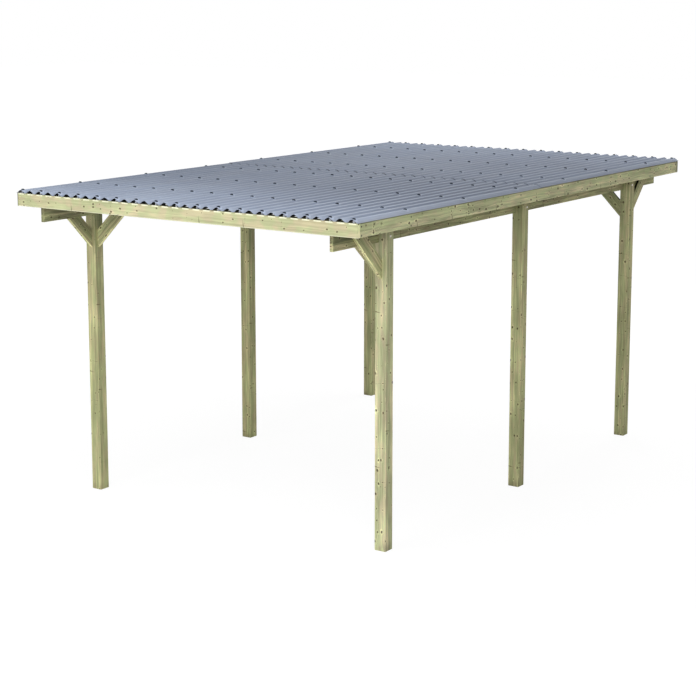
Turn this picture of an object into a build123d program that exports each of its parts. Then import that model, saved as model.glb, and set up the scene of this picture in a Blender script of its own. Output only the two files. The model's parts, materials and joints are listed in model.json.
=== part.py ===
from build123d import *
import math
import os

os.makedirs("parts", exist_ok=True)

# Outline over the four fascia boards and the height of their top edges.
ROOF_WIDTH = 3024.0
ROOF_LENGTH = 5000.0
ROOF_TOP = 2360.0

# Square posts, three to a side, and how far the roof reaches past their outer faces.
POST_SIZE = 90.0
POST_ROUND = 4.0
SIDE_REACH = 147.0
END_REACH = 560.0

# Long beams, one to a side, let into the inner sides of the posts.
BEAM_THICK = 28.0
BEAM_DEPTH = 125.0

# Purlins across the beams, which carry the roof sheets.
PURLIN_THICK = 34.0
PURLIN_DEPTH = 80.0
PURLIN_BAYS = 5

# Fascia boards around the roof edge.
FASCIA_THICK = 28.0
FASCIA_DEPTH = 97.0

# Knee braces at the four corner posts, cut at 45 degrees.
BRACE_THICK = 28.0
BRACE_WIDTH = 95.0
BRACE_DROP = 250.0
BRACE_SET_DOWN = 10.0

# Rounded long edges of every planed board.
BOARD_ROUND = 3.0

# Corrugated roof sheets in two rows of three, a little past the fascias all round.
WAVE_COUNT = 33
WAVE_HEIGHT = 22.6
WAVE_FACETS = 16
SHEET_THICK = 1.4
SHEET_CLEARANCE = 0.1
SHEET_SIDE_REACH = 6.0
SHEET_END_REACH = 5.0
SIDE_SHEET_WAVES = 12
ROW_LAP_FRONT = -40.0
ROW_LAP_LENGTH = 150.0

# Sizes that follow from the ones above.
POST_ROW_X = ROOF_WIDTH / 2 - SIDE_REACH - POST_SIZE / 2
POST_ROW_Y = ROOF_LENGTH / 2 - END_REACH - POST_SIZE / 2
PURLIN_UNDERSIDE = ROOF_TOP - PURLIN_DEPTH
BEAM_UNDERSIDE = PURLIN_UNDERSIDE - BEAM_DEPTH
BRACE_FOOT = BEAM_UNDERSIDE - BRACE_DROP
BRACE_FOOT_HEIGHT = BRACE_WIDTH * math.sqrt(2)
POST_INNER_X = POST_ROW_X - POST_SIZE / 2
BEAM_X = POST_INNER_X + BEAM_THICK / 2
BEAM_OUTER_X = POST_INNER_X + BEAM_THICK
INSIDE_FASCIA_X = ROOF_WIDTH / 2 - FASCIA_THICK
INSIDE_FASCIA_Y = ROOF_LENGTH / 2 - FASCIA_THICK
SHEET_LIFT = SHEET_THICK + SHEET_CLEARANCE
SHEET_SIDE_X = ROOF_WIDTH / 2 + SHEET_SIDE_REACH
SHEET_END_Y = ROOF_LENGTH / 2 + SHEET_END_REACH
WAVE_PITCH = 2 * SHEET_SIDE_X / WAVE_COUNT

SIDES = {"left": -1, "right": 1}
ENDS = {"front": -1, "rear": 1}


def save(shape, name):
    """Write one piece to its own file."""
    export_step(shape, f"parts/{name}.step")


def board_along_x(length, thick, depth, radius):
    """A board with its length along X, its thickness along Y and its depth along Z."""
    return extrude(Plane.YZ * RectangleRounded(thick, depth, radius), length / 2, both=True)


def board_along_y(length, thick, depth, radius):
    """A board with its length along Y, its thickness along X and its depth along Z."""
    return extrude(Plane.XZ * RectangleRounded(thick, depth, radius), length / 2, both=True)


def post(side):
    """A post standing on Z = 0 with a notch in its inner side for the beam."""
    body = extrude(RectangleRounded(POST_SIZE, POST_SIZE, POST_ROUND), PURLIN_UNDERSIDE)
    notch = Box(BEAM_THICK, POST_SIZE, BEAM_DEPTH)
    notch_x = -side * (POST_SIZE - BEAM_THICK) / 2
    notch_z = BEAM_UNDERSIDE + BEAM_DEPTH / 2
    return body - Pos(notch_x, 0, notch_z) * notch


def brace(top):
    """A 45 degree brace against the plane X = 0, rising towards +X up to the height top."""
    span = top - BRACE_FOOT
    board = extrude(Plane.YZ * RectangleRounded(BRACE_THICK, BRACE_WIDTH, BOARD_ROUND), 2 * span, both=True)
    foot_middle = Pos(0, 0, BRACE_FOOT + BRACE_FOOT_HEIGHT / 2)
    slanted = foot_middle * Rot(0, -45, 0) * board
    room = Pos(span / 2, 0, BRACE_FOOT + span / 2) * Box(span, BRACE_THICK, span)
    return slanted & room


def wave_line(first_x, waves, height):
    """Points along the wave from valley to valley, a cosine, raised by a height."""
    points = []
    for step in range(waves * WAVE_FACETS + 1):
        rise = WAVE_HEIGHT * (1 - math.cos(2 * math.pi * step / WAVE_FACETS)) / 2
        points.append((first_x + step * WAVE_PITCH / WAVE_FACETS, height + rise))
    return points


def roof_sheet(first_wave, waves, front_y, rear_y, level):
    """A corrugated sheet over a run of waves, lifted by whole steps so that laps nest."""
    first_x = first_wave * WAVE_PITCH - SHEET_SIDE_X
    under = wave_line(first_x, waves, ROOF_TOP + level * SHEET_LIFT)
    over = wave_line(first_x, waves, ROOF_TOP + level * SHEET_LIFT + SHEET_THICK)
    profile = Plane.XZ * make_face(Polyline(under + over[::-1], close=True))
    return Pos(0, rear_y, 0) * extrude(profile, rear_y - front_y)


# Six posts. The notch faces the middle of the bay.
for side_name, side in SIDES.items():
    for row_name, row in {"front": -1, "middle": 0, "rear": 1}.items():
        placed = Pos(side * POST_ROW_X, row * POST_ROW_Y, 0) * post(side)
        save(placed, f"post_{row_name}_{side_name}")

# Two beams from the front fascia to the rear one, resting in the notches.
for side_name, side in SIDES.items():
    beam = board_along_y(2 * INSIDE_FASCIA_Y, BEAM_THICK, BEAM_DEPTH, BOARD_ROUND)
    save(Pos(side * BEAM_X, 0, BEAM_UNDERSIDE + BEAM_DEPTH / 2) * beam, f"beam_{side_name}")

# Eight purlins. The outer two lie against the end fascias, the others start at the cross braces.
behind_brace = (BRACE_THICK + PURLIN_THICK) / 2
purlin_step = 2 * POST_ROW_Y / PURLIN_BAYS
end_purlin_y = INSIDE_FASCIA_Y - PURLIN_THICK / 2
purlin_rows = [-end_purlin_y]
purlin_rows += [behind_brace - POST_ROW_Y + bay * purlin_step for bay in range(PURLIN_BAYS + 1)]
purlin_rows += [end_purlin_y]
for number, y in enumerate(purlin_rows, start=1):
    purlin = board_along_x(2 * INSIDE_FASCIA_X, PURLIN_THICK, PURLIN_DEPTH, BOARD_ROUND)
    save(Pos(0, y, ROOF_TOP - PURLIN_DEPTH / 2) * purlin, f"purlin_{number}")

# Front and rear fascias run the full width. The side fascias butt between them.
fascia_z = ROOF_TOP - FASCIA_DEPTH / 2
for end_name, end in ENDS.items():
    fascia = board_along_x(ROOF_WIDTH, FASCIA_THICK, FASCIA_DEPTH, BOARD_ROUND)
    save(Pos(0, end * (ROOF_LENGTH - FASCIA_THICK) / 2, fascia_z) * fascia, f"fascia_{end_name}")
for side_name, side in SIDES.items():
    fascia = board_along_y(2 * INSIDE_FASCIA_Y, FASCIA_THICK, FASCIA_DEPTH, BOARD_ROUND)
    save(Pos(side * (ROOF_WIDTH - FASCIA_THICK) / 2, 0, fascia_z) * fascia, f"fascia_{side_name}")

# Knee braces at the corner posts: one along the beam and one across to the purlin.
beam_brace = brace(PURLIN_UNDERSIDE)
cross_brace = brace(ROOF_TOP - BRACE_SET_DOWN)
for side_name, side in SIDES.items():
    for end_name, end in ENDS.items():
        post_y = end * POST_ROW_Y
        outer_face_y = post_y + end * POST_SIZE / 2
        brace_x = side * (BEAM_OUTER_X + BRACE_THICK / 2)
        along = Pos(brace_x, outer_face_y, 0) * Rot(0, 0, 90 * end) * beam_brace
        save(along, f"beam_brace_{end_name}_{side_name}")
        turn = 180 if side > 0 else 0
        across = Pos(side * POST_INNER_X, post_y, 0) * Rot(0, 0, turn) * cross_brace
        save(across, f"cross_brace_{end_name}_{side_name}")

# Six sheets. The middle column laps over its neighbours and the rear row over the front one.
columns = {
    "left": (0, SIDE_SHEET_WAVES, 0),
    "middle": (SIDE_SHEET_WAVES - 1, WAVE_COUNT - 2 * SIDE_SHEET_WAVES + 2, 1),
    "right": (WAVE_COUNT - SIDE_SHEET_WAVES, SIDE_SHEET_WAVES, 0),
}
rows = {
    "front": (-SHEET_END_Y, ROW_LAP_FRONT + ROW_LAP_LENGTH, 0),
    "rear": (ROW_LAP_FRONT, SHEET_END_Y, 2),
}
for row_name, (front_y, rear_y, row_level) in rows.items():
    for column_name, (first_wave, waves, column_level) in columns.items():
        sheet = roof_sheet(first_wave, waves, front_y, rear_y, row_level + column_level)
        save(sheet, f"roof_sheet_{row_name}_{column_name}")
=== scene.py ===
import json
import math

import bmesh
import bpy
import numpy as np
from mathutils import Matrix, Vector

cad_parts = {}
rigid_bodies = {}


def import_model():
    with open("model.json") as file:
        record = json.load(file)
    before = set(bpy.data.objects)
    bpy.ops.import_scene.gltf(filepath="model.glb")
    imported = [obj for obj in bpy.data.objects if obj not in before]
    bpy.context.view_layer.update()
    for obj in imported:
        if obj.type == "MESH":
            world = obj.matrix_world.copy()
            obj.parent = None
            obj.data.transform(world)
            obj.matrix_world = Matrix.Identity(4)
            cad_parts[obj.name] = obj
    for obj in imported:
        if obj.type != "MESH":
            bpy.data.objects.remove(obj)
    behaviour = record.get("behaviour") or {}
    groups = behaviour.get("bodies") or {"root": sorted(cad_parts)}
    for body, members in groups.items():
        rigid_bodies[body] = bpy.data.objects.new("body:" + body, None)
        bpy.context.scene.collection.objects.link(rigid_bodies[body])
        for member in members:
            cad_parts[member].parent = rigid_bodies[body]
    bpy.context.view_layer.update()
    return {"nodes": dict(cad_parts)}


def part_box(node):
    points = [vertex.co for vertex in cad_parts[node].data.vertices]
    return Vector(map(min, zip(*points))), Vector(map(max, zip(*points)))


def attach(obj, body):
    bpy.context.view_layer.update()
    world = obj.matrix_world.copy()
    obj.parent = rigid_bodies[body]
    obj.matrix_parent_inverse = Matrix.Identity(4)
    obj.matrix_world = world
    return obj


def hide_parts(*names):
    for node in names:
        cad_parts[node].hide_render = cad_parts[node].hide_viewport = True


for left_over in list(bpy.data.objects):
    bpy.data.objects.remove(left_over)
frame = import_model()


# Posts: six lengths of 90 mm square pine, planed on four sides with eased arrises and
# pressure treated, which leaves the pale yellow wood slightly green. Each has a notch cut
# in its inner side for the beam and stands on its sawn foot.
def add(tree, kind, inputs=None, **settings):
    """One node with its settings. An input is either a socket to link or a plain value."""
    made = tree.nodes.new(kind)
    for name, value in settings.items():
        setattr(made, name, value)
    for key, value in (inputs or {}).items():
        if isinstance(value, bpy.types.NodeSocket):
            tree.links.new(value, made.inputs[key])
        else:
            made.inputs[key].default_value = value
    return made


def calc(tree, operation, *values):
    """One sum on plain numbers or sockets."""
    return add(tree, "ShaderNodeMath", dict(enumerate(values)), operation=operation).outputs[0]


def total(tree, first, *others):
    """The numbers added up."""
    for other in others:
        first = calc(tree, "ADD", first, other)
    return first


def product(tree, first, *others):
    """The numbers multiplied together."""
    for other in others:
        first = calc(tree, "MULTIPLY", first, other)
    return first


def length(tree, first, second):
    """The length of a step made of two parts at right angles."""
    squares = [product(tree, part, part) for part in (first, second)]
    return calc(tree, "SQRT", total(tree, *squares))


def ramp(tree, value, low, high, start=0.0, end=1.0):
    """The value carried smoothly from start at low to end at high, and held beyond them."""
    inputs = {"Value": value, "From Min": low, "From Max": high, "To Min": start, "To Max": end}
    made = add(tree, "ShaderNodeMapRange", inputs, interpolation_type="SMOOTHSTEP")
    return made.outputs["Result"]


def blend_value(tree, amount, first, second):
    """Two numbers mixed by an amount."""
    inputs = {0: amount, 2: first, 3: second}
    return add(tree, "ShaderNodeMix", inputs, data_type="FLOAT").outputs[0]


def blend(tree, amount, first, second, way="MIX"):
    """Two colours mixed by an amount, or combined in another way."""
    made = add(tree, "ShaderNodeMix", {"Factor": amount}, data_type="RGBA", blend_type=way)
    for socket, colour in ((made.inputs[6], first), (made.inputs[7], second)):
        if isinstance(colour, bpy.types.NodeSocket):
            tree.links.new(colour, socket)
        else:
            socket.default_value = (*colour, 1.0)
    return made.outputs[2]


def joined(tree, x, y, z):
    """Three numbers as one vector."""
    return add(tree, "ShaderNodeCombineXYZ", {0: x, 1: y, 2: z}).outputs[0]


def parted(tree, vector):
    """The three numbers of a vector."""
    return add(tree, "ShaderNodeSeparateXYZ", {0: vector}).outputs


def shades(tree, *steps):
    """Shades multiplied together. Each is a mask, two of its levels and the shade at each."""
    return product(tree, *[ramp(tree, *step) for step in steps])


def shaded(tree, colour, shade):
    """A colour multiplied by a shade."""
    return blend(tree, 1.0, colour, joined(tree, shade, shade, shade), "MULTIPLY")


def coated(tree, colour, *coats):
    """A colour with coats laid over it. Each is a mask, an amount and a paint."""
    for mask, amount, paint in coats:
        colour = blend(tree, product(tree, mask, amount), colour, paint)
    return colour


def noise(tree, place, scale, detail=2.0, roughness=0.5):
    """Soft noise from 0 to 1 at a place."""
    inputs = {"Vector": place, "Scale": scale, "Detail": detail, "Roughness": roughness}
    return add(tree, "ShaderNodeTexNoise", inputs).outputs["Fac"]


def nearest_spot(tree, place, gap):
    """The step from the nearest of a loose row of spots along one axis, and that spot's
    three random lots."""
    inputs = {"W": calc(tree, "DIVIDE", place, gap), "Scale": 1.0, "Randomness": 0.85}
    spot = add(tree, "ShaderNodeTexVoronoi", inputs, voronoi_dimensions="1D").outputs
    step = calc(tree, "SUBTRACT", place, product(tree, spot["W"], gap))
    return step, add(tree, "ShaderNodeSeparateColor", {0: spot["Color"]}).outputs


def new_group(name, takes, gives):
    """An empty node group with named inputs and outputs, each a Vector, Float or Color, and
    the sockets of its two ends."""
    tree = bpy.data.node_groups.new(name, "ShaderNodeTree")
    for in_out, sockets in (("INPUT", takes), ("OUTPUT", gives)):
        for socket, kind in sockets.items():
            tree.interface.new_socket(socket, in_out=in_out, socket_type=f"NodeSocket{kind}")
    given = tree.nodes.new("NodeGroupInput").outputs
    return tree, given, tree.nodes.new("NodeGroupOutput").inputs


def knot_masks(tree, far, halo_reach, present):
    """Masks of a knot, of its dark heart and of the halo where grain swings round it, by the
    distance from its middle in radii."""
    spans = ((1.15, 0.75), (0.7, 0.3), (halo_reach, 1.2))
    return [product(tree, ramp(tree, far, *span), present) for span in spans]


def scattered_knots(tree, place, along, across, amount):
    """At most one ragged knot to a cell of a loose grid. Gives the step across from it, and
    its masks."""
    cell_x = calc(tree, "DIVIDE", along, KNOT_CELL_LONG)
    cell_y = calc(tree, "DIVIDE", across, KNOT_CELL_WIDE)
    cell_at = joined(tree, cell_x, cell_y, 0.0)
    inputs = {"Vector": cell_at, "Scale": 1.0, "Randomness": 0.8}
    cell = add(tree, "ShaderNodeTexVoronoi", inputs, voronoi_dimensions="2D").outputs
    inputs = {0: cell_at, 1: cell["Position"]}
    step = add(tree, "ShaderNodeVectorMath", inputs, operation="SUBTRACT").outputs[0]
    step_x, step_y, _ = parted(tree, step)
    away_x = product(tree, step_x, KNOT_CELL_LONG, KNOT_SQUEEZE)
    away_y = product(tree, step_y, KNOT_CELL_WIDE)
    lot = add(tree, "ShaderNodeSeparateColor", {0: cell["Color"]}).outputs[0]
    radius = product(tree, ramp(tree, lot, 0.30, 1.0, 0.0, KNOT_RADIUS), amount)
    ragged = ramp(tree, noise(tree, place, 140.0), 0.3, 0.7, 0.75, 1.30)
    far = product(tree, length(tree, away_x, away_y), ragged)
    far = calc(tree, "DIVIDE", far, calc(tree, "MAXIMUM", radius, LEAST_RADIUS))
    present = calc(tree, "GREATER_THAN", lot, 0.52)
    return away_y, *knot_masks(tree, far, 3.4, present)


def knot_rows(tree, along, across, amount):
    """Rows of a few knots side by side, as branches grow, with a thin line between them.
    Gives the step across from the nearest knot, its masks, and the line's mask."""
    row_x, row_lot = nearest_spot(tree, along, KNOT_ROW_GAP)
    knot_y, knot_lot = nearest_spot(tree, across, ROW_KNOT_GAP)
    stray = product(tree, calc(tree, "SUBTRACT", knot_lot[1], 0.5), 0.012)
    row_x = total(tree, row_x, stray)
    radius = product(tree, ramp(tree, knot_lot[0], 0.1, 1.0, *ROW_KNOT_RADII), amount)
    far = length(tree, row_x, knot_y)
    far = calc(tree, "DIVIDE", far, calc(tree, "MAXIMUM", radius, LEAST_RADIUS))
    in_row = calc(tree, "GREATER_THAN", row_lot[0], 0.55)
    line = product(tree, ramp(tree, calc(tree, "ABSOLUTE", row_x), 0.0022, 0.0006), in_row)
    present = product(tree, in_row, calc(tree, "GREATER_THAN", knot_lot[2], 0.45))
    return knot_y, *knot_masks(tree, far, 3.0, present), line


def spike_knots(tree, along, across, half_reach, amount):
    """Branches cut lengthwise. Each shows as a dark wedge half way across the face."""
    spike_x, lot = nearest_spot(tree, total(tree, along, 3.7), SPIKE_GAP)
    spike_x = calc(tree, "ABSOLUTE", total(tree, spike_x, product(tree, across, 0.12)))
    part_across = calc(tree, "DIVIDE", across, half_reach)
    taper = ramp(tree, part_across, 0.25, -1.0, 0.0, SPIKE_HALF_WIDTH)
    return product(
        tree,
        calc(tree, "LESS_THAN", spike_x, taper),
        calc(tree, "GREATER_THAN", lot[0], 0.45),
        calc(tree, "GREATER_THAN", amount, 0.5),
    )


def sawn_pine_group():
    """Treated pine in a board's own coordinates: X along the grain, Y and Z across it.
    Long soft noise gives the streaks, distance from the pith the rings. Small knots are
    scattered over each face, and others stand in rows across it, as branches grow."""
    tree, given, out = new_group(
        "sawn pine",
        {
            "Place": "Vector",
            "Half Size": "Vector",
            "Seed": "Float",
            "Green Wood": "Color",
            "Tan Wood": "Color",
            "Knots": "Float",
            "End Shade": "Float",
            "Top Shade": "Float",
            "Under Shade": "Float",
            "Upper Shade": "Float",
            "Contrast": "Float",
            "Foot Stain And Head Shade": "Float",
        },
        {"Color": "Color", "Roughness": "Float", "Height": "Float"},
    )
    x, y, z = parted(tree, given["Place"])
    half_x, half_y, half_z = parted(tree, given["Half Size"])
    shift = product(tree, given["Seed"], 7.31)

    # How deep the point lies below each pair of faces, and which face it is on. Each face
    # has its own lane of noise, so that no two are alike.
    deep_x = calc(tree, "SUBTRACT", half_x, calc(tree, "ABSOLUTE", x))
    deep_y = calc(tree, "SUBTRACT", half_y, calc(tree, "ABSOLUTE", y))
    deep_z = calc(tree, "SUBTRACT", half_z, calc(tree, "ABSOLUTE", z))
    on_edge = calc(tree, "LESS_THAN", deep_y, deep_z)
    on_face = calc(tree, "SUBTRACT", 1.0, on_edge)
    nearest = calc(tree, "MINIMUM", deep_y, deep_z)
    to_arris = calc(tree, "MAXIMUM", deep_y, deep_z)
    on_top = product(tree, on_edge, calc(tree, "GREATER_THAN", y, 0.0))
    below = product(tree, on_edge, calc(tree, "LESS_THAN", y, 0.0))
    on_end = calc(tree, "LESS_THAN", total(tree, deep_x, 0.0004), nearest)
    across = total(tree, product(tree, y, on_face), product(tree, z, on_edge))
    half_reach = total(tree, product(tree, half_y, on_face), product(tree, half_z, on_edge))
    side = product(tree, calc(tree, "SIGN", z), on_face)
    side = total(tree, side, product(tree, calc(tree, "SIGN", y), on_edge, 3.0))
    lane = total(tree, product(tree, side, 11.3), shift)
    along_lane = total(tree, x, lane)
    across_lane = total(tree, across, lane)

    knots = given["Knots"]
    scattered = scattered_knots(tree, given["Place"], along_lane, across_lane, knots)
    away_y, knot, heart, halo = scattered
    row_y, row_knot, row_heart, row_halo, line = knot_rows(tree, along_lane, across_lane, knots)
    knot = calc(tree, "MAXIMUM", knot, row_knot)
    heart = calc(tree, "MAXIMUM", heart, row_heart)
    spike = spike_knots(tree, along_lane, across, half_reach, knots)

    # Grain: lines along the board that swing round the knots, over wider streaks.
    swing = product(tree, away_y, halo, KNOT_SWING)
    swing = total(tree, swing, product(tree, row_y, row_halo, KNOT_SWING))
    wander_at = joined(tree, product(tree, x, 5.0), product(tree, across, 9.0), lane)
    swing = total(tree, swing, product(tree, noise(tree, wander_at, 1.0), GRAIN_WANDER))
    grain_y = total(tree, y, product(tree, swing, on_face))
    grain_z = total(tree, z, product(tree, swing, on_edge))
    drawn_out = total(tree, product(tree, x, 0.03), shift)
    grain_at = joined(tree, drawn_out, grain_y, total(tree, grain_z, shift))
    fine = noise(tree, grain_at, 330.0, 3.0, 0.6)
    streak = noise(tree, grain_at, 85.0)
    band = noise(tree, grain_at, 28.0, 1.0)
    pith_y = calc(tree, "SUBTRACT", grain_y, PITH_ASIDE)
    pith_z = total(tree, grain_z, PITH_BEHIND)
    reach = total(tree, length(tree, pith_y, pith_z), product(tree, streak, 0.006))
    ring = calc(tree, "FRACT", product(tree, reach, RINGS_PER_METRE))
    ring = calc(tree, "POWER", ring, 2.5)

    # Patches where the salts took more or less: a hand's width long on the calm boards,
    # twice that and narrower on the striped ones.
    striped = ramp(tree, given["Contrast"], 0.8, 1.4)
    patch_along = ramp(tree, striped, 0.0, 1.0, 12.0, 6.5)
    patch_across = ramp(tree, striped, 0.0, 1.0, 17.0, 24.0)
    patch_at = joined(
        tree,
        total(tree, product(tree, x, patch_along), shift),
        product(tree, grain_y, patch_across),
        total(tree, product(tree, grain_z, patch_across), shift),
    )
    patch = noise(tree, patch_at, 1.0, 3.0, 0.6)
    cloud = noise(tree, patch_at, 0.42)
    tan = total(tree, product(tree, band, 0.3), product(tree, patch, 0.7))
    tan = blend_value(tree, striped, noise(tree, patch_at, 0.8, 1.0), tan)
    colour = blend(tree, ramp(tree, tan, 0.42, 0.62), given["Green Wood"], given["Tan Wood"])
    shade = shades(
        tree,
        (streak, 0.28, 0.72, 0.84, 1.12),
        (fine, 0.25, 0.75, 0.90, 1.08),
        (band, 0.30, 0.70, 0.93, 1.07),
        (cloud, 0.32, 0.68, 0.90, 1.09),
        (ring, 0.0, 1.0, 1.02, 0.84),
        (halo, 0.0, 1.0, 1.0, 1.07),
        (row_halo, 0.0, 1.0, 1.0, 1.12),
        (line, 0.0, 1.0, 1.0, 0.84),
        # Painted highlight: the arrises lighter, where the eased edges catch the light.
        (to_arris, 0.0060, 0.0020, 1.0, 1.13),
    )
    shade = calc(tree, "POWER", shade, given["Contrast"])

    # Shade from the board's own place in the frame, partly painted: sawn ends darker, as end
    # grain is, and set lighter or darker per board as painted light; painted shade on the upper
    # narrow face and on the upper half, and a painted highlight on the lower narrow face, each
    # as set for the board.
    # A damp patch darkens a post's foot, and painted shadow of the roof darkens its head.
    inner_top = product(tree, on_top, ramp(tree, to_arris, 0.003, 0.006))
    upper = ramp(tree, calc(tree, "DIVIDE", y, half_y), -0.25, 0.10)
    foot = product(
        tree,
        ramp(tree, total(tree, x, half_x), FOOT_STAIN_HEIGHT, 0.0),
        ramp(tree, patch, 0.38, 0.62),
        given["Foot Stain And Head Shade"],
    )
    # Painted shadow of the roof on the upper half metre of a post.
    head = product(
        tree,
        ramp(tree, deep_x, 0.50, 0.18),
        calc(tree, "GREATER_THAN", x, 0.0),
        given["Foot Stain And Head Shade"],
    )
    for mask, changed in (
        (on_end, given["End Shade"]),
        (inner_top, given["Top Shade"]),
        (below, given["Under Shade"]),
        (upper, given["Upper Shade"]),
        (foot, 0.62),
        (head, 0.78),
    ):
        shade = product(tree, shade, blend_value(tree, mask, 1.0, changed))
    colour = coated(
        tree,
        shaded(tree, colour, shade),
        (knot, 0.90, KNOT_WOOD),
        (heart, 0.8, KNOT_HEART),
        (spike, 0.7, SPIKE_WOOD),
    )
    tree.links.new(colour, out["Color"])
    rough = total(tree, PINE_ROUGH, product(tree, fine, 0.16), product(tree, knot, -0.18))
    tree.links.new(rough, out["Roughness"])
    height = total(tree, product(tree, fine, 0.5), product(tree, ring, -0.25))
    tree.links.new(total(tree, height, product(tree, heart, -0.8)), out["Height"])
    return tree


def new_material(name):
    """A material, its tree, its shader's sockets and the object's own coordinates."""
    made = bpy.data.materials.new(name)
    made.use_nodes = True
    tree = made.node_tree
    place = tree.nodes.new("ShaderNodeTexCoord").outputs["Object"]
    return made, tree, tree.nodes["Principled BSDF"].inputs, place


def pine_board(
    node,
    along,
    across,
    half,
    seed,
    tone=1.0,
    blue=1.0,
    knots=1.0,
    contrast=1.0,
    end_shade=0.8,
    top_shade=1.0,
    under_shade=1.0,
    upper_shade=1.0,
    foot_stain_and_head_shade=0.0,
    middle=0.0,
):
    """Gives a CAD board its own pine material. Its grain runs along one axis and its face
    lies across another, both measured from the middle of the board's own box, or for a brace,
    whose lower edge runs through there, from half a board further up. Boards differ a little
    in tone, as sawn timber does, and the tones of boards in the roof's shade are set darker as
    painted shade."""
    low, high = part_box(node)
    along, across = Vector(along).normalized(), Vector(across).normalized()
    turn = Matrix((along, across, along.cross(across)))
    made, tree, shader, place = new_material(f"pine {node}")
    shader["Specular IOR Level"].default_value = PINE_SHEEN
    green_wood, tan_wood = [
        (tone * red, tone * green, tone * blue * pale, 1.0)
        for red, green, pale in (GREEN_WOOD, TAN_WOOD)
    ]
    inputs = {
        "Vector": place,
        "Location": -(turn @ ((low + high) / 2)) - Vector((0.0, middle, 0.0)),
        "Rotation": turn.to_euler(),
    }
    inputs = {
        "Place": add(tree, "ShaderNodeMapping", inputs).outputs[0],
        "Half Size": half,
        "Seed": seed,
        "Green Wood": green_wood,
        "Tan Wood": tan_wood,
        "Knots": knots,
        "End Shade": end_shade,
        "Top Shade": top_shade,
        "Under Shade": under_shade,
        "Upper Shade": upper_shade,
        "Contrast": contrast,
        "Foot Stain And Head Shade": foot_stain_and_head_shade,
    }
    pine = add(tree, "ShaderNodeGroup", inputs, node_tree=sawn_pine).outputs
    inputs = {"Height": pine["Height"], "Strength": 0.35, "Distance": GRAIN_DEPTH}
    relief = add(tree, "ShaderNodeBump", inputs).outputs["Normal"]
    tree.links.new(pine["Color"], shader["Base Color"])
    tree.links.new(pine["Roughness"], shader["Roughness"])
    tree.links.new(relief, shader["Normal"])
    board = frame["nodes"][node]
    board.data.materials.clear()
    board.data.materials.append(made)
    return made


KNOT_CELL_LONG = 0.085
KNOT_CELL_WIDE = 0.042
KNOT_RADIUS = 0.0078
KNOT_SQUEEZE = 0.72
LEAST_RADIUS = 0.0002
KNOT_ROW_GAP = 0.24
ROW_KNOT_GAP = 0.026
ROW_KNOT_RADII = (0.0018, 0.0058)
SPIKE_GAP = 0.55
SPIKE_HALF_WIDTH = 0.0042
KNOT_SWING = -0.75
GRAIN_WANDER = 0.016
GRAIN_DEPTH = 0.0006
PITH_ASIDE = 0.021
PITH_BEHIND = 0.034
RINGS_PER_METRE = 165.0
FOOT_STAIN_HEIGHT = 0.09
PINE_SHEEN = 0.28
PINE_ROUGH = 0.66
GREEN_WOOD = (0.600, 0.622, 0.345)
TAN_WOOD = (0.668, 0.602, 0.372)
KNOT_WOOD = (0.125, 0.092, 0.038)
KNOT_HEART = (0.034, 0.026, 0.012)
SPIKE_WOOD = (0.100, 0.075, 0.030)
sawn_pine = sawn_pine_group()
X, Y, Z = (1.0, 0.0, 0.0), (0.0, 1.0, 0.0), (0.0, 0.0, 1.0)
SIDES = {"left": -1.0, "right": 1.0}
POST_ROWS = {"front": -1.895, "middle": 0.0, "rear": 1.895}
POST_X = 1.320
POST_HALF = 0.045
POST_HEIGHT = 2.280
# Each post's tone, how blue its wood is and how knotty. The tones are partly painted shade:
# the front posts are lighter than those further under the roof.
POST_LOOKS = {
    "post_front_left": (0.97, 0.89, 0.62),
    "post_middle_left": (0.85, 0.86, 0.80),
    "post_rear_left": (0.86, 0.87, 0.90),
    "post_front_right": (1.05, 1.0, 1.0),
    "post_middle_right": (0.92, 0.89, 1.0),
    "post_rear_right": (0.88, 0.89, 1.0),
}
half = (POST_HEIGHT / 2, POST_HALF, POST_HALF)
for number, (post, (tone, blue, knots)) in enumerate(POST_LOOKS.items()):
    seed = 3.0 + 2.3 * number
    # Posts get a damp patch at the foot and painted shadow of the roof at the head.
    pine_board(post, Z, X, half, seed, tone, blue, knots, contrast=1.6, foot_stain_and_head_shade=1.0)


# Beams: two planed boards on edge, 28 by 125 mm, let into the inner sides of the posts so
# that their inner faces are flush. They carry the roof and stick out past the end posts.
BEAM_HALF = (2.472, 0.0625, 0.014)
BEAM_FACE_X = 1.275
# Beams stand in the roof's shade: their tone is set darker as painted shade, with painted shade
# on the upper narrow face and the upper half. Their sawn ends carry painted light, darker on the
# left and lighter on the right.
beam_looks = dict(tone=0.71, blue=0.9, contrast=2.2, top_shade=0.5, upper_shade=0.62)
for number, (side, sawn_end) in enumerate({"left": 0.74, "right": 1.25}.items()):
    seed = 21.0 + number
    pine_board(f"beam_{side}", Y, Z, BEAM_HALF, seed, end_shade=sawn_end, **beam_looks)


# Purlins: eight planed boards on edge across the two beams, under the roof sheets. The
# first and last stand against the end fascias and the rest are 758 mm apart.
PURLIN_COUNT = 8
PURLIN_HALF = (1.484, 0.040, 0.017)
# Purlins stand in the roof's shade: their tone is set darker and their upper narrow face carries
# painted shade.
purlin_looks = dict(tone=0.68, blue=0.92, contrast=1.3, top_shade=0.12)
for number in range(1, PURLIN_COUNT + 1):
    seed = 30.0 + 1.7 * number
    pine_board(f"purlin_{number}", X, Z, PURLIN_HALF, seed, **purlin_looks)


# Fascias: four planed boards, 28 by 97 mm, around the edge of the roof. The front and rear
# ones run the full width and hide the ends of the side ones. The front and rear ones carry
# painted light under the waves of the roof, and the side ones a greener band and a painted
# shadow line under the sheet's edge.
def wave_height(tree, x):
    """The roof's wave at x, from 0 in a valley to 1 on a crest: (1 - cos(2 pi x / pitch)) / 2,
    counted from the left edge."""
    turn = product(tree, total(tree, x, SHEET_SIDE_X), 2 * math.pi / WAVE_PITCH)
    return product(tree, calc(tree, "SUBTRACT", 1.0, calc(tree, "COSINE", turn)), 0.5)


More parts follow.
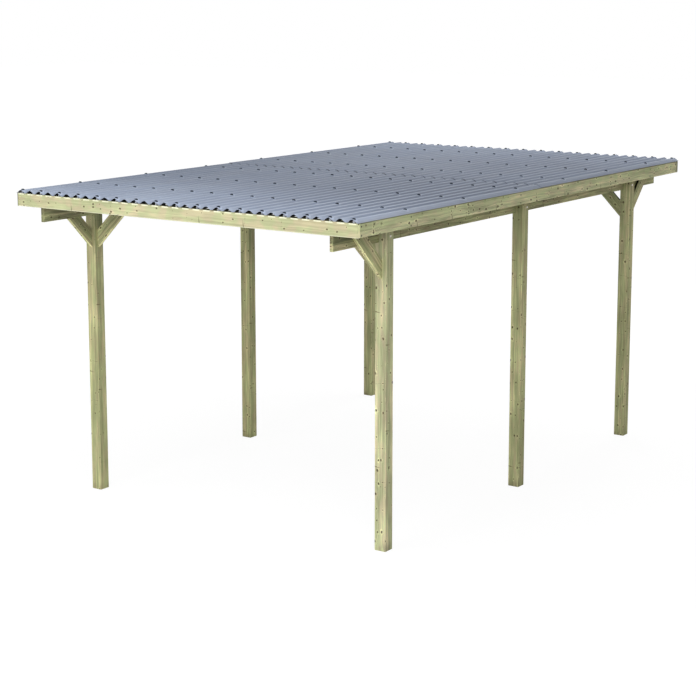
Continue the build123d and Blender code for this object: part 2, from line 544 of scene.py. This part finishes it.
def painted_edge_light_group():
    """Painted light on a fascia under the waves: a painted highlight in a strip below the top
    edge where a wave is open, with painted shadow in the gap over it, a painted highlight along
    the foot, and painted shade on the arris at the front's left end."""
    takes = {"Place": "Vector", "Wood": "Color"}
    tree, given, out = new_group("painted edge light", takes, {"Color": "Color"})
    x, y, z = parted(tree, given["Place"])
    below = calc(tree, "SUBTRACT", FASCIA_TOP, z)
    open_to = ramp(tree, wave_height(tree, x), 0.12, 0.45)
    strip = ramp(tree, below, 0.0120, 0.0085)
    strip = product(tree, strip, ramp(tree, below, 0.0008, 0.0022), open_to)
    gap = product(tree, ramp(tree, below, 0.0022, 0.0008), open_to)
    foot = ramp(tree, below, 0.0890, 0.0925)
    left_end = product(tree, ramp(tree, x, -1.5020, -1.5070), ramp(tree, y, -2.4980, -2.4995))
    colour = coated(
        tree,
        given["Wood"],
        (strip, 1.0, PAINTED_EDGE_HIGHLIGHT),
        (gap, 0.95, PAINTED_SHADOW),
        (foot, 0.5, PAINTED_EDGE_HIGHLIGHT),
        (left_end, 0.7, PAINTED_SHADOW),
    )
    tree.links.new(colour, out["Color"])
    return tree


def greened_and_shaded_edge_group():
    """A fascia's side edge under a sheet: a greener band in patches and a painted shadow line
    over it.
    """
    takes = {"Place": "Vector", "Wood": "Color"}
    tree, given, out = new_group("greened and shaded edge", takes, {"Color": "Color"})
    below = calc(tree, "SUBTRACT", FASCIA_TOP, parted(tree, given["Place"])[2])
    patches = ramp(tree, noise(tree, given["Place"], 9.0), 0.35, 0.65)
    colour = coated(
        tree,
        given["Wood"],
        (product(tree, ramp(tree, below, 0.062, 0.040), patches), 0.5, GREENER_WOOD),
        (ramp(tree, below, 0.0095, 0.0050), 0.62, PAINTED_SHADOW),
    )
    tree.links.new(colour, out["Color"])
    return tree


def paint_upper_edge(made, edge):
    """Lays the colouring of the upper edge, painted light and shade and on the side fascias a
    greener band, between a fascia's own wood and its shader.
    """
    nodes = made.node_tree.nodes
    base = nodes["Principled BSDF"].inputs["Base Color"]
    place = nodes["Texture Coordinate"].outputs["Object"]
    inputs = {"Place": place, "Wood": base.links[0].from_socket}
    edge_painted = add(made.node_tree, "ShaderNodeGroup", inputs, node_tree=edge).outputs["Color"]
    made.node_tree.links.new(edge_painted, base)


FASCIA_HALF_LONG = (2.472, 0.0485, 0.014)
FASCIA_HALF_WIDE = (1.512, 0.0485, 0.014)
FASCIA_TOP = 2.360
FASCIA_FACE_X = 1.512
SHEET_SIDE_X = 1.518
WAVE_COUNT = 33
WAVE_PITCH = 2 * SHEET_SIDE_X / WAVE_COUNT
PAINTED_EDGE_HIGHLIGHT = (0.90, 0.91, 0.67)
GREENER_WOOD = (0.52, 0.60, 0.30)
PAINTED_SHADOW = (0.020, 0.020, 0.014)
painted_edge_light = painted_edge_light_group()
greened_and_shaded_edge = greened_and_shaded_edge_group()
# The end fascias carry painted shade on the upper narrow face under the sheets, and their sawn
# ends painted light, lighter at the front and darker at the rear.
end_looks = dict(knots=0.88, contrast=0.75, top_shade=0.12)
front_looks = dict(seed=52.3, tone=0.925, end_shade=1.8, **end_looks)
rear_looks = dict(seed=53.0, tone=0.93, end_shade=0.45, **end_looks)
paint_upper_edge(pine_board("fascia_front", X, Z, FASCIA_HALF_WIDE, **front_looks), painted_edge_light)
paint_upper_edge(pine_board("fascia_rear", X, Z, FASCIA_HALF_WIDE, **rear_looks), painted_edge_light)
# The side fascias carry painted shade on the upper narrow face.
side_looks = dict(tone=1.025, knots=1.2, contrast=1.6, top_shade=0.3)
for number, side in enumerate(SIDES):
    seed = 55.0 + 2.0 * number
    board = pine_board(f"fascia_{side}", Y, Z, FASCIA_HALF_LONG, seed, **side_looks)
    paint_upper_edge(board, greened_and_shaded_edge)


# Knee braces: eight planed boards cut at 45 degrees at both ends. Four stiffen the beams
# and lie flat against them, and four reach across to the purlin beside each corner post.
BRACE_HALF = (0.50, 0.0475, 0.014)
middle = BRACE_HALF[1]
# The braces carry a painted highlight on the lower narrow face and painted shade on the upper
# one. Their tones differ by side as painted light: the left beam braces and the right cross
# braces are darker.
brace_looks = dict(blue=0.90, contrast=2.0, under_shade=1.75, top_shade=0.05)
for side, sign in SIDES.items():
    for end, far in {"front": -1.0, "rear": 1.0}.items():
        name, along, across = f"beam_brace_{end}_{side}", (0.0, far, 1.0), (0.0, -far, 1.0)
        seed, tone = 60.0 + sign + far / 2, 0.74 + 0.03 * sign
        pine_board(name, along, across, BRACE_HALF, seed, tone, middle=middle, **brace_looks)
        name, along, across = f"cross_brace_{end}_{side}", (-sign, 0.0, 1.0), (sign, 0.0, 1.0)
        seed, tone = 70.0 + sign + far / 2, 0.79 - 0.03 * sign
        pine_board(name, along, across, BRACE_HALF, seed, tone, middle=middle, **brace_looks)


# Roof sheets: six sheets of corrugated grey blue plastic, three across and two deep. The
# middle column laps over its neighbours by one wave, and the rear row over the front one.
def new_piece(name, mesh, material):
    """An object of a finished mesh in the scene."""
    mesh.materials.append(material)
    made = bpy.data.objects.new(name, mesh)
    bpy.context.scene.collection.objects.link(made)
    return made


def smooth(mesh, degrees):
    """Smooth shading, broken where faces meet more sharply than an angle."""
    mesh.polygons.foreach_set("use_smooth", np.ones(len(mesh.polygons), bool))
    mesh.set_sharp_from_angle(angle=math.radians(degrees))


def wave_sheet(name, first_wave, waves, front, rear, level):
    """A cosine wave carried along the sheet. The upper surface is the lower one raised by
    the sheet's thickness, so that lapped sheets nest."""
    steps = np.arange(waves * WAVE_STEPS + 1) / WAVE_STEPS
    across = (first_wave + steps) * WAVE_PITCH - SHEET_SIDE_X
    under = FASCIA_TOP + level * SHEET_LIFT + WAVE_RISE * (1 - np.cos(2 * np.pi * steps)) / 2
    x = np.concatenate([across, across[::-1]])
    z = np.concatenate([under, under[::-1] + SHEET_THICK])
    count = len(x)
    y = np.repeat(np.linspace(front, rear, SHEET_STATIONS), count)
    points = np.stack([np.tile(x, SHEET_STATIONS), y, np.tile(z, SHEET_STATIONS)], axis=1)
    ring = np.arange(count)
    after = np.roll(ring, -1)
    rows = np.arange(SHEET_STATIONS - 1)[:, None] * count
    tube = np.stack([rows + ring, rows + after, rows + after + count, rows + ring + count], -1)
    low = np.arange(count // 2 - 1)
    end = np.stack([low, count - 1 - low, count - 2 - low, low + 1], -1)
    far_end = end[:, ::-1] + (SHEET_STATIONS - 1) * count
    faces = np.concatenate([tube.reshape(-1, 4), end, far_end])
    mesh = bpy.data.meshes.new(name)
    mesh.from_pydata(points.tolist(), [], faces.tolist())
    smooth(mesh, 50)
    return mesh


def roof_plastic():
    """Smooth tinted plastic with soft patches of dust. Painted shade darkens the lower half of
    each wave, a band down its right flank, the left edge and the insides of the open ends of the
    waves, and painted light makes the roof lighter towards the front, the rear and the right and
    darker in the middle, with a painted highlight on the crests along the front edge. The sheet
    is also darker in dashes along the row lap and lighter in a ring round each screw cap."""
    made, tree, shader, place = new_material("roof plastic")
    shader["Specular IOR Level"].default_value = ROOF_SHEEN
    x, y, z = parted(tree, place)
    rise = wave_height(tree, x)
    fall = wave_height(tree, total(tree, x, WAVE_PITCH / 4))
    streak_at = joined(tree, product(tree, x, 38.0), product(tree, y, 0.8), z)
    streak = noise(tree, streak_at, 1.0, 3.0)
    dust = noise(tree, place, 2.2, 5.0, 0.6)
    low = product(tree, ramp(tree, rise, 0.5, 0.0), ramp(tree, y, -2.500, -2.490))
    # Painted shade: a band down the right flank of each wave, stronger towards the right.
    flank = product(
        tree,
        ramp(tree, rise, 0.97, 0.82),
        ramp(tree, rise, 0.34, 0.56),
        calc(tree, "LESS_THAN", fall, 0.5),
        calc(tree, "LESS_THAN", x, 1.470),
        ramp(tree, y, -2.480, -2.370),
        ramp(tree, x, -0.6, 1.1, 0.16, 0.78),
        ramp(tree, y, -2.4, -1.5, 0.70, 1.0),
        ramp(tree, y, -0.6, 0.6, 1.0, 0.55),
    )
    lap = calc(tree, "ABSOLUTE", calc(tree, "SUBTRACT", y, ROW_LAP_FRONT))
    lap_dashes = ramp(tree, noise(tree, place, 5.0, 1.0), 0.35, 0.55, 0.3, 1.0)
    lap = product(tree, ramp(tree, lap, 0.016, 0.004), lap_dashes)
    edge = ramp(tree, x, -1.500, -1.512)
    from_first = total(tree, x, SHEET_SIDE_X - WAVE_PITCH / 2)
    cap_x = calc(tree, "PINGPONG", from_first, WAVE_PITCH)
    cap_y, *others = [
        calc(tree, "ABSOLUTE", calc(tree, "SUBTRACT", y, row)) for row in ROOF_SCREW_ROWS
    ]
    for other in others:
        cap_y = calc(tree, "MINIMUM", cap_y, other)
    normal = tree.nodes.new("ShaderNodeNewGeometry").outputs["True Normal"]
    down = calc(tree, "LESS_THAN", parted(tree, normal)[2], 0.0)
    hollow = product(tree, down, ramp(tree, calc(tree, "ABSOLUTE", y), 2.39, 2.44))
    rim = product(tree, ramp(tree, y, -2.470, -2.486), ramp(tree, rise, 0.10, 0.40))
    shade = shades(
        tree,
        # Painted shade in the lower half of each wave.
        (low, 0.0, 1.0, 1.0, 0.80),
        (lap, 0.0, 1.0, 1.0, 0.62),
        # Painted shade along the left edge and inside the open ends of the waves.
        (edge, 0.0, 1.0, 1.0, 0.45),
        (hollow, 0.0, 1.0, 1.0, 0.05),
        # Painted highlight on the crests along the front edge.
        (rim, 0.0, 1.0, 1.0, 1.11),
        (length(tree, cap_x, cap_y), 0.030, 0.020, 1.0, 1.20),
        # Painted light: the roof lighter towards the front, the rear and the right, darker in
        # the middle.
        (y, -2.6, -0.8, 1.06, 0.74),
        (y, 0.1, 0.6, 1.0, 1.04),
        (x, 0.4, 1.2, 1.0, 1.07),
        (y, 1.4, 2.1, 1.0, 1.08),
        (y, 2.25, 2.5, 1.0, 1.14),
        (dust, 0.35, 0.65, 0.97, 1.06),
    )
    colour = blend(tree, ramp(tree, streak, 0.3, 0.7), ROOF_BLUE, ROOF_GREY)
    colour = blend(tree, flank, shaded(tree, colour, shade), FLANK_SHADE, "MULTIPLY")
    rough = total(tree, ROOF_ROUGH, product(tree, dust, 0.16))
    inputs = {"Height": noise(tree, place, 900.0), "Strength": 0.08, "Distance": 0.0004}
    relief = add(tree, "ShaderNodeBump", inputs).outputs["Normal"]
    tree.links.new(colour, shader["Base Color"])
    tree.links.new(rough, shader["Roughness"])
    tree.links.new(relief, shader["Normal"])
    return made


WAVE_RISE = 0.0226
WAVE_STEPS = 24
SHEET_STATIONS = 9
SHEET_THICK = 0.0014
SHEET_LIFT = 0.0015
SHEET_END_Y = 2.505
ROW_LAP_FRONT = -0.040
ROW_LAP_REAR = 0.110
ROOF_SCREW_ROWS = [-2.484, -1.877, -1.119, -0.361, 0.397, 1.155, 1.913, 2.455]
ROOF_BLUE = (0.306, 0.356, 0.457)
ROOF_GREY = (0.331, 0.376, 0.465)
FLANK_SHADE = (0.44, 0.47, 0.53)
ROOF_SHEEN = 0.12
ROOF_ROUGH = 0.50
plastic = roof_plastic()
columns = {"left": (0, 12, 0), "middle": (11, 11, 1), "right": (21, 12, 0)}
rows = {"front": (-SHEET_END_Y, ROW_LAP_REAR, 0), "rear": (ROW_LAP_FRONT, SHEET_END_Y, 2)}
for row, (front, rear, row_level) in rows.items():
    for column, (first, waves, level) in columns.items():
        node = f"roof_sheet_{row}_{column}"
        name = f"{node}_plastic"
        mesh = wave_sheet(name, first, waves, front, rear, row_level + level)
        sheet = new_piece(name, mesh, plastic)
        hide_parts(node)
        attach(sheet, "root")


# Roof screws: galvanised screws on every second crest, each under a dark plastic cap that is
# shaped to the wave, with a pale plastic spacer under the crest. The first row goes into the
# top edge of the front fascia and the others into the purlins below.
def mottled_finish_group():
    """Fine mottling of colour and roughness, as small parts have after handling and years
    outdoors.
    """
    takes = {"Place": "Vector", "Plain": "Color", "Worn": "Color", "Roughness": "Float"}
    gives = {"Color": "Color", "Roughness": "Float"}
    tree, given, out = new_group("mottled finish", takes, gives)
    mottle = noise(tree, given["Place"], 420.0, 3.0)
    colour = blend(tree, ramp(tree, mottle, 0.35, 0.7), given["Plain"], given["Worn"])
    tree.links.new(colour, out["Color"])
    rough = total(tree, given["Roughness"], product(tree, mottle, 0.2))
    tree.links.new(rough, out["Roughness"])
    return tree


def mottled(name, plain, worn, roughness):
    """A material of two colours in a fine mottle, for small hardware, and its shader."""
    made, tree, shader, place = new_material(name)
    plain, worn = (*plain, 1.0), (*worn, 1.0)
    inputs = {"Place": place, "Plain": plain, "Worn": worn, "Roughness": roughness}
    finish = add(tree, "ShaderNodeGroup", inputs, node_tree=mottled_finish).outputs
    tree.links.new(finish["Color"], shader["Base Color"])
    tree.links.new(finish["Roughness"], shader["Roughness"])
    return made, shader


def dusty_caps():
    """Nearly black plastic, lighter where dust lies on it: in patches of the roof, towards
    the left and on the row behind the lap of the sheets, but not along the front."""
    made, shader = mottled("roof cap plastic", CAP_BLACK, CAP_WORN, CAP_ROUGH)
    shader["Specular IOR Level"].default_value = CAP_SHEEN
    tree = made.node_tree
    place = tree.nodes["Texture Coordinate"].outputs["Object"]
    x, y, _ = parted(tree, place)
    dust = total(
        tree,
        ramp(tree, noise(tree, place, 2.6, 1.0), 0.40, 0.62, 0.0, 0.45),
        ramp(tree, x, 0.0, -1.4, 0.0, 0.22),
        product(tree, ramp(tree, y, 0.2, 0.3), ramp(tree, y, 0.6, 0.5), 0.45),
    )
    dust = product(tree, calc(tree, "MINIMUM", dust, 1.0), ramp(tree, y, -2.40, -2.20))
    base = shader["Base Color"]
    tree.links.new(blend(tree, dust, base.links[0].from_socket, CAP_DUST), base)
    return made


def saddle_caps(name, places):
    """One mesh of like caps. Each is a disc of rings, whose height at radius r is the wave's
    own drop, height * (1 - cos(2 pi x / pitch)) / 2, under a dome given ring by ring."""
    places = np.array(places, float)
    angle = np.arange(CAP_SIDES) * 2 * np.pi / CAP_SIDES
    radius, above = np.array(CAP_RINGS).T[:, :, None]
    x = CAP_RADIUS * radius * np.cos(angle)
    y = CAP_RADIUS * radius * np.sin(angle)
    drop = WAVE_RISE * (1 - np.cos(2 * np.pi * x / WAVE_PITCH)) / 2
    dome = np.stack([x, y, above - drop], -1).reshape(-1, 3)
    shape = np.concatenate([dome, [[0.0, 0.0, CAP_TOP], [0.0, 0.0, CAP_FOOT]]])
    points = places[:, None, :] + shape
    ring = np.arange(len(CAP_RINGS) - 1)[:, None] * CAP_SIDES
    index = np.arange(CAP_SIDES)
    after = np.roll(index, -1)
    corners = [ring + index, ring + CAP_SIDES + index, ring + CAP_SIDES + after, ring + after]
    wall = np.stack(corners, -1).reshape(1, -1, 4)
    last = (len(CAP_RINGS) - 1) * CAP_SIDES
    top = np.stack([np.full(CAP_SIDES, len(dome)), index, after], -1)
    foot = np.stack([np.full(CAP_SIDES, len(dome) + 1), last + after, last + index], -1)
    start = np.arange(len(places))[:, None, None] * len(shape)
    walls = (start + wall).reshape(-1, 4)
    fans = (start + np.concatenate([top, foot])).reshape(-1, 3)
    mesh = bpy.data.meshes.new(name)
    mesh.from_pydata(points.reshape(-1, 3).tolist(), [], walls.tolist() + fans.tolist())
    smooth(mesh, 40)
    return mesh


def turned(name, outline, sides, places, axis, material):
    """One piece of like turned shapes. Each point of the outline, a radius and a height,
    is swept in a circle around the axis at every place. The outline ends on the axis."""
    outline = np.array(outline)
    places = np.array(places, float)
    axis = np.broadcast_to(np.array(axis, float), places.shape)
    other = np.where(np.abs(axis[:, 2:]) > 0.9, [X], [Z])
    first = np.cross(other, axis)
    first /= np.linalg.norm(first, axis=1, keepdims=True)
    second = np.cross(axis, first)
    angle = np.arange(sides)[:, None, None] * 2 * np.pi / sides
    outward = np.cos(angle) * first + np.sin(angle) * second
    radius, height = outline.T[:, :, None, None, None]
    points = (places + height * axis + radius * outward).transpose(2, 0, 1, 3)
    ring = np.arange(len(outline) - 1)[:, None] * sides
    index = np.arange(sides)
    after = np.roll(index, -1)
    wall = np.stack([ring + index, ring + after, ring + after + sides, ring + index + sides], -1)
    start = np.arange(len(places))[:, None, None, None] * len(outline) * sides
    mesh = bpy.data.meshes.new(name)
    mesh.from_pydata(points.reshape(-1, 3).tolist(), [], (start + wall).reshape(-1, 4).tolist())
    mesh.validate()
    welded = bmesh.new()
    welded.from_mesh(mesh)
    bmesh.ops.remove_doubles(welded, verts=welded.verts, dist=1e-6)
    bmesh.ops.recalc_face_normals(welded, faces=welded.faces)
    welded.to_mesh(mesh)
    welded.free()
    smooth(mesh, 35)
    return new_piece(name, mesh, material)


CAP_RADIUS = 0.0128
CAP_TOP = 0.0073
CAP_FOOT = -0.0008
CAP_SIDES = 12
CAP_RINGS = [(0.48, 0.0071), (0.72, 0.0063), (0.86, 0.0042), (1.0, 0.0029), (1.0, -0.0006)]
CAP_BLACK = (0.012, 0.018, 0.026)
CAP_WORN = (0.024, 0.033, 0.045)
CAP_DUST = (0.120, 0.148, 0.190)
CAP_SHEEN = 0.15
CAP_ROUGH = 0.55
mottled_finish = mottled_finish_group()
crest_z = FASCIA_TOP + WAVE_RISE + SHEET_THICK
screwed = np.arange(0, WAVE_COUNT, 2)
crests = (screwed + 0.5) * WAVE_PITCH - SHEET_SIDE_X
first, waves, level = columns["middle"]
lifted = ((screwed >= first) & (screwed < first + waves)) * level * SHEET_LIFT
spots = [
    (x, y, crest_z + lift + (2 * SHEET_LIFT if y > ROW_LAP_FRONT else 0.0))
    for y in ROOF_SCREW_ROWS
    for x, lift in zip(crests, lifted)
]
caps = new_piece("roof_screw_caps", saddle_caps("roof_screw_caps", spots), dusty_caps())
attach(caps, "root")

SPACER_PALE = (0.62, 0.66, 0.72)
SPACER_WORN = (0.52, 0.56, 0.62)
SPACER_ROUGH = 0.4
SPACER_SIDES = 10
SPACER_OUTLINE = [
    (0.0, 0.0),
    (0.0080, 0.0),
    (0.0080, 0.0030),
    (0.0060, 0.0045),
    (0.0060, 0.0150),
    (0.0070, 0.0190),
    (0.0, 0.0215),
]
spots = [(x, y, FASCIA_TOP) for y in ROOF_SCREW_ROWS for x in crests]
spacer_plastic, _ = mottled("spacer plastic", SPACER_PALE, SPACER_WORN, SPACER_ROUGH)
spacers = turned("roof_spacers", SPACER_OUTLINE, SPACER_SIDES, spots, Z, spacer_plastic)
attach(spacers, "root")


# Fascia screws: pairs of green coated wood screws through the side fascias into the end of
# each purlin, driven just below the surface of the wood.
SCREW_GREEN = (0.022, 0.022, 0.012)
SCREW_WORN = (0.050, 0.048, 0.028)
SCREW_ROUGH = 0.55
SCREW_SIDES = 12
SCREW_OUTLINE = [
    (0.0, -0.0006),
    (0.0062, -0.0006),
    (0.0062, 0.0002),
    (0.0052, 0.0005),
    (0.0, 0.0005),
]
PURLIN_ROWS = [-2.455, -1.864, -1.106, -0.348, 0.410, 1.168, 1.926, 2.455]
FASCIA_SCREW_HEIGHTS = (2.277, 2.335)
screw_coat, _ = mottled("screw coat", SCREW_GREEN, SCREW_WORN, SCREW_ROUGH)
for side, sign in SIDES.items():
    name, out = f"fascia_screws_{side}", (sign, 0.0, 0.0)
    spots = [(sign * FASCIA_FACE_X, y, z) for y in PURLIN_ROWS for z in FASCIA_SCREW_HEIGHTS]
    screws = turned(name, SCREW_OUTLINE, SCREW_SIDES, spots, out, screw_coat)
    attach(screws, "root")


# Post bolts: two zinc plated coach bolts through each post and beam, one low and one high,
# with a domed head outside and a washer and nut on the inner face of the beam.
ZINC = (0.800, 0.760, 0.680)
ZINC_WORN = (0.620, 0.590, 0.530)
ZINC_ROUGH = 0.22
HEAD_SIDES, NUT_SIDES, BOLT_END_SIDES = 20, 6, 12
HEAD_OUTLINE = [
    (0.0, -0.0005),
    (0.0080, -0.0005),
    (0.0080, 0.0008),
    (0.0072, 0.0026),
    (0.0056, 0.0042),
    (0.0030, 0.0050),
    (0.0, 0.0053),
]
WASHER_OUTLINE = [(0.0, -0.0003), (0.0150, -0.0003), (0.0150, 0.0016), (0.0, 0.0016)]
NUT_OUTLINE = [
    (0.0, 0.0010),
    (0.0095, 0.0010),
    (0.0098, 0.0018),
    (0.0098, 0.0085),
    (0.0090, 0.0092),
    (0.0, 0.0092),
]
BOLT_END = [(0.0, 0.0080), (0.0049, 0.0080), (0.0049, 0.0140), (0.0040, 0.0150), (0.0, 0.0150)]
BOLT_HEIGHTS = (2.197, 2.246)
BOLT_STEPS = {"front": (0.004, -0.020), "middle": (0.020, -0.020), "rear": (-0.004, 0.020)}
zinc, shader = mottled("zinc plate", ZINC, ZINC_WORN, ZINC_ROUGH)
shader["Metallic"].default_value = 1.0
bolts = [
    (y + step, z)
    for row, y in POST_ROWS.items()
    for step, z in zip(BOLT_STEPS[row], BOLT_HEIGHTS)
]
for side, sign in SIDES.items():
    outside = [(sign * (POST_X + POST_HALF), y, z) for y, z in bolts]
    inside = [(sign * BEAM_FACE_X, y, z) for y, z in bolts]
    out, back = (sign, 0.0, 0.0), (-sign, 0.0, 0.0)
    for made in (
        turned(f"bolt_heads_{side}", HEAD_OUTLINE, HEAD_SIDES, outside, out, zinc),
        turned(f"bolt_washers_{side}", WASHER_OUTLINE, HEAD_SIDES, inside, back, zinc),
        turned(f"bolt_nuts_{side}", NUT_OUTLINE, NUT_SIDES, inside, back, zinc),
        turned(f"bolt_ends_{side}", BOLT_END, BOLT_END_SIDES, inside, back, zinc),
    ):
        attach(made, "root")


# Studio: a plain white floor that runs into a white world, and ten broad soft lamps all round
# it, the strongest overhead and in front. From below the floor can be looked through, so that
# the underside of the roof can be seen.
def seen_directly(tree):
    """1 for what the camera sees, directly, mirrored or through glass."""
    path = tree.nodes.new("ShaderNodeLightPath").outputs
    seen = calc(tree, "MAXIMUM", path["Is Camera Ray"], path["Is Glossy Ray"])
    return calc(tree, "MAXIMUM", seen, path["Is Transmission Ray"])


def either(tree, amount, first, second):
    """Two shaders mixed by an amount."""
    inputs = {0: amount, 1: first.outputs[0], 2: second.outputs[0]}
    return add(tree, "ShaderNodeMixShader", inputs)


WHITE = (1.0, 1.0, 1.0, 1.0)
WORLD_LIGHT = 0.12
world = bpy.data.worlds.new("white world")
bpy.context.scene.world = world
world.use_nodes = True
tree = world.node_tree
tree.nodes.clear()
white = add(tree, "ShaderNodeBackground", {"Color": WHITE, "Strength": 1.0})
light = add(tree, "ShaderNodeBackground", {"Color": WHITE, "Strength": WORLD_LIGHT})
shown = either(tree, seen_directly(tree), light, white)
add(tree, "ShaderNodeOutputWorld", {"Surface": shown.outputs[0]})

FLOOR_HALF = 60.0
FLOOR_PAINT = (0.75, 0.75, 0.75, 1.0)
FLOOR_SHADOW = (0.12, 0.12, 0.12, 1.0)
FLOOR_GLOW = 0.93
FLOOR_NEAR, FLOOR_FAR = 3.0, 8.0
floor_mesh = bpy.data.meshes.new("floor")
corners = np.array([(-1, -1, 0), (1, -1, 0), (1, 1, 0), (-1, 1, 0)]) * FLOOR_HALF
floor_mesh.from_pydata(corners.tolist(), [], [(0, 1, 2, 3)])
floor_paint = bpy.data.materials.new("floor paint")
floor_paint.use_nodes = True
tree = floor_paint.node_tree
tree.nodes.clear()
x, y, _ = parted(tree, tree.nodes.new("ShaderNodeTexCoord").outputs["Object"])
glow = ramp(tree, length(tree, x, y), FLOOR_NEAR, FLOOR_FAR, FLOOR_GLOW, 1.0)
glow = add(tree, "ShaderNodeEmission", {"Color": WHITE, "Strength": glow})
faint = add(tree, "ShaderNodeBsdfDiffuse", {"Color": FLOOR_SHADOW})
white = add(tree, "ShaderNodeAddShader", {0: glow.outputs[0], 1: faint.outputs[0]})
pale = add(tree, "ShaderNodeBsdfDiffuse", {"Color": FLOOR_PAINT})
shown = either(tree, seen_directly(tree), pale, white)
from_below = tree.nodes.new("ShaderNodeNewGeometry").outputs["Backfacing"]
shown = either(tree, from_below, shown, tree.nodes.new("ShaderNodeBsdfTransparent"))
add(tree, "ShaderNodeOutputMaterial", {"Surface": shown.outputs[0]})
new_piece("floor", floor_mesh, floor_paint)

LAMP_AIM = Vector((0.0, 0.0, 1.5))
LAMP_SIZE = 3.0
LAMP_WATTS = 4 * math.pi / 3
for name, strength, place in (
    ("ceiling front", 0.86, (0.0, -4.0, 6.0)),
    ("ceiling rear", 0.70, (0.0, 4.0, 6.0)),
    ("front", 0.29, (0.0, -8.0, 3.0)),
    ("front right", 0.53, (5.0, -7.0, 4.0)),
    ("front left", 0.31, (-5.0, -7.0, 4.0)),
    ("rear", 0.30, (0.0, 8.0, 3.0)),
    ("rear right", 0.19, (5.0, 7.0, 4.0)),
    ("rear left", 0.27, (-5.0, 7.0, 4.0)),
    ("right", 0.13, (7.0, 0.0, 4.0)),
    ("left", 0.15, (-7.0, 0.0, 4.0)),
):
    lamp_data = bpy.data.lights.new(name, "AREA")
    lamp_data.size = LAMP_SIZE
    reach = LAMP_AIM - Vector(place)
    lamp_data.energy = strength * LAMP_WATTS * reach.length_squared
    lamp = bpy.data.objects.new(name, lamp_data)
    bpy.context.scene.collection.objects.link(lamp)
    lamp.location = place
    lamp.rotation_euler = reach.to_track_quat("-Z", "Y").to_euler()


# Camera: at the photograph's angle, to the right of the front and a little above the roof,
# with a long lens and the frame shifted down so that the posts stay nearly upright.
SENSOR_WIDTH = 36.0
IMAGE_WIDTH = 696
FOCAL_PIXELS = 1685.66
TILT_DOWN = 9.495
TURN_LEFT = 34.47
camera_data = bpy.data.cameras.new("camera")
camera_data.sensor_width = SENSOR_WIDTH
camera_data.lens = FOCAL_PIXELS / IMAGE_WIDTH * SENSOR_WIDTH
camera_data.shift_y = -0.10
camera = bpy.data.objects.new("camera", camera_data)
bpy.context.scene.collection.objects.link(camera)
camera.location = (7.4727, -11.2907, 3.7835)
camera.rotation_euler = (math.radians(90 - TILT_DOWN), 0.0, math.radians(TURN_LEFT))
bpy.context.scene.camera = camera
bpy.context.scene.view_settings.view_transform = "Standard"
